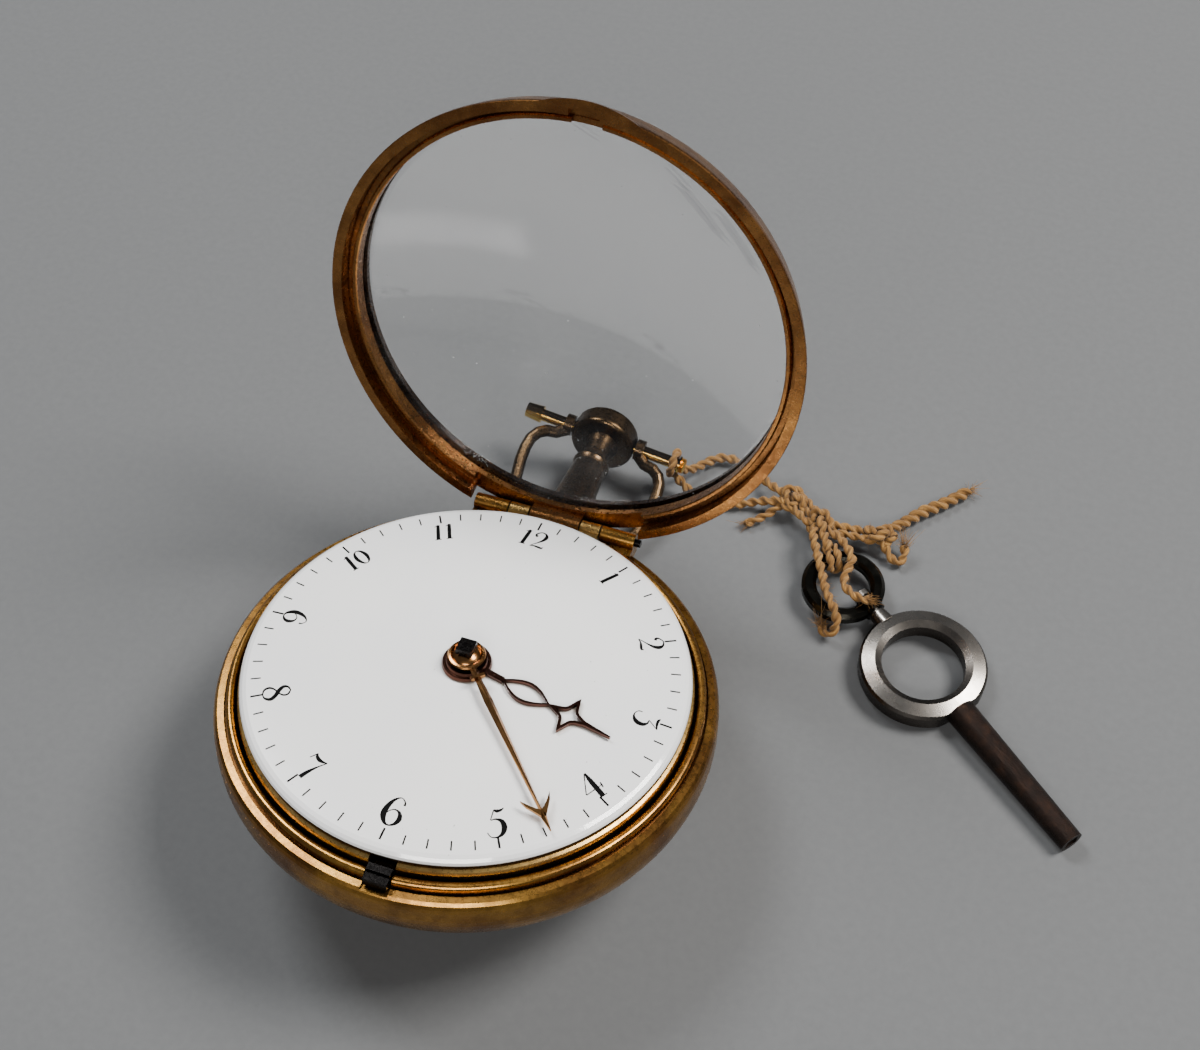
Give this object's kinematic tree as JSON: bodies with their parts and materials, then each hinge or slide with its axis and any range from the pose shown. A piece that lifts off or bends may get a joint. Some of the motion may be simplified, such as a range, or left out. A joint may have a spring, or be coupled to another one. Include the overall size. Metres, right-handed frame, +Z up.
{
  "type": "key-wound pocket watch",
  "caption": "Open-faced key-wound pocket watch with a hinged domed glass bezel, swing-out movement, pendant with a swivelling bow, and a winding key tied on with twine.",
  "frame": {"origin": "on the surface that the watch lies on, under the middle of the watch's box, the key and twine left out", "axes": "+X towards 3 o'clock, +Y towards 12 o'clock and the pendant, +Z up, with the dial's 12 o'clock side dipping 8 degrees"},
  "size_m": [0.0803, 0.0707, 0.0555],
  "materials": {
    "gilt_case": "aged satin gilt",
    "gilt_bezel": "aged bright gilt",
    "gilt_movement": "satin gilt",
    "bronze": "dark toned bronze",
    "dark_steel": "dark oiled steel",
    "steel": "worn bright steel",
    "blued_steel": "heat-blued steel",
    "rusted_steel": "rusted steel",
    "enamel": "white vitreous enamel",
    "crystal_glass": "clear domed glass",
    "rose_gilt": "worn rose gilt",
    "twine": "two-ply jute twine"
  },
  "bodies": {
    "case": {"case_back": "gilt_case", "case_rim": "gilt_case", "hinge_pin": "dark_steel", "pendant": "bronze", "bow_pin": "gilt_case", "key_loop": "dark_steel", "twine_bow_tie": "twine", "twine_loop_tie": "twine", "twine_main": "twine", "twine_return": "twine", "twine_hanger": "twine", "twine_knot_1": "twine", "twine_knot_2": "twine", "twine_knot_3": "twine", "twine_end_1": "twine", "twine_end_2": "twine", "twine_end_3": "twine", "twine_end_4": "twine"},
    "bezel": {"bezel_ring": "gilt_bezel", "bezel_joint": "gilt_bezel", "crystal": "crystal_glass"},
    "movement": {"dial": "enamel", "movement_ring": "gilt_movement", "pillar_plate": "gilt_movement", "pillar_1": "gilt_movement", "pillar_2": "gilt_movement", "pillar_3": "gilt_movement", "pillar_4": "gilt_movement", "back_plate": "gilt_movement", "plate_pins": "gilt_movement", "minute_wheel_stud": "steel", "balance_cock": "gilt_movement", "cock_screw": "blued_steel", "fusee_chain": "steel"},
    "latch": {"latch_bolt": "dark_steel"},
    "bow": {"bow": "bronze"},
    "minute_arbor": {"minute_hand": "rose_gilt", "cannon_pinion": "steel", "centre_arbor": "dark_steel"},
    "hour_arbor": {"hour_hand": "rose_gilt", "hour_wheel": "gilt_movement"},
    "minute_wheel": {"minute_wheel": "gilt_movement"},
    "fusee": {"fusee": "gilt_movement", "great_wheel": "gilt_movement"},
    "barrel": {"barrel": "gilt_movement"},
    "balance": {"balance_wheel": "gilt_movement", "balance_staff": "steel"},
    "key": {"key_grip": "steel", "key_pipe": "rusted_steel"}
  },
  "joints": [
    {"name": "bezel_hinge", "type": "hinge", "parent": "case", "child": "bezel", "pos_m": [0.0005, 0.01354, 0.01137], "axis": [-1, 0, 0], "range_deg": [-97.5, 0]},
    {"name": "movement_hinge", "type": "hinge", "parent": "case", "child": "movement", "pos_m": [0.0005, 0.01354, 0.01137], "axis": [-1, 0, 0], "range_deg": [0, 75]},
    {"name": "latch_slide", "type": "slide", "parent": "movement", "child": "latch", "axis": [0, 0.9903, -0.1392], "range_m": [0, 0.0007], "stiffness_N_per_m": 150},
    {"name": "bow_hinge", "type": "hinge", "parent": "case", "child": "bow", "pos_m": [0, 0.02995, 0.00523], "axis": [0.9903, -0.0194, -0.1378], "range_deg": [-8, 150]},
    {"name": "minute_spin", "type": "hinge", "parent": "movement", "child": "minute_arbor", "pos_m": [0, -0.00805, 0.01582], "axis": [0, -0.1392, -0.9903], "continuous": true},
    {"name": "hour_spin", "type": "hinge", "parent": "movement", "child": "hour_arbor", "pos_m": [0, -0.00805, 0.01582], "axis": [0, -0.1392, -0.9903], "continuous": true},
    {"name": "minute_wheel_spin", "type": "hinge", "parent": "movement", "child": "minute_wheel", "pos_m": [0, -0.00211, 0.01498], "axis": [0, -0.1392, -0.9903], "continuous": true},
    {"name": "fusee_spin", "type": "hinge", "parent": "movement", "child": "fusee", "pos_m": [0.00636, -0.01435, 0.0167], "axis": [0, -0.1392, -0.9903], "continuous": true},
    {"name": "barrel_spin", "type": "hinge", "parent": "movement", "child": "barrel", "pos_m": [-0.0086, -0.01399, 0.01665], "axis": [0, -0.1392, -0.9903], "continuous": true},
    {"name": "balance_swing", "type": "hinge", "parent": "movement", "child": "balance", "pos_m": [0, -0.00409, 0.01526], "axis": [0, -0.1392, -0.9903], "range_deg": [-135, 135]},
    {"name": "key_swivel", "type": "hinge", "parent": "case", "child": "key", "pos_m": [0.03217, 0.0201, 0.00175], "axis": [0.777, -0.6292, -0.0175], "continuous": true}
  ],
  "couplings": [
    {"joint": "hour_spin", "follows": "minute_spin", "ratio": 0.083333},
    {"joint": "minute_wheel_spin", "follows": "minute_spin", "ratio": -0.33333},
    {"joint": "fusee_spin", "follows": "minute_spin", "ratio": -0.25},
    {"joint": "barrel_spin", "follows": "minute_spin", "ratio": -0.2}
  ]
}
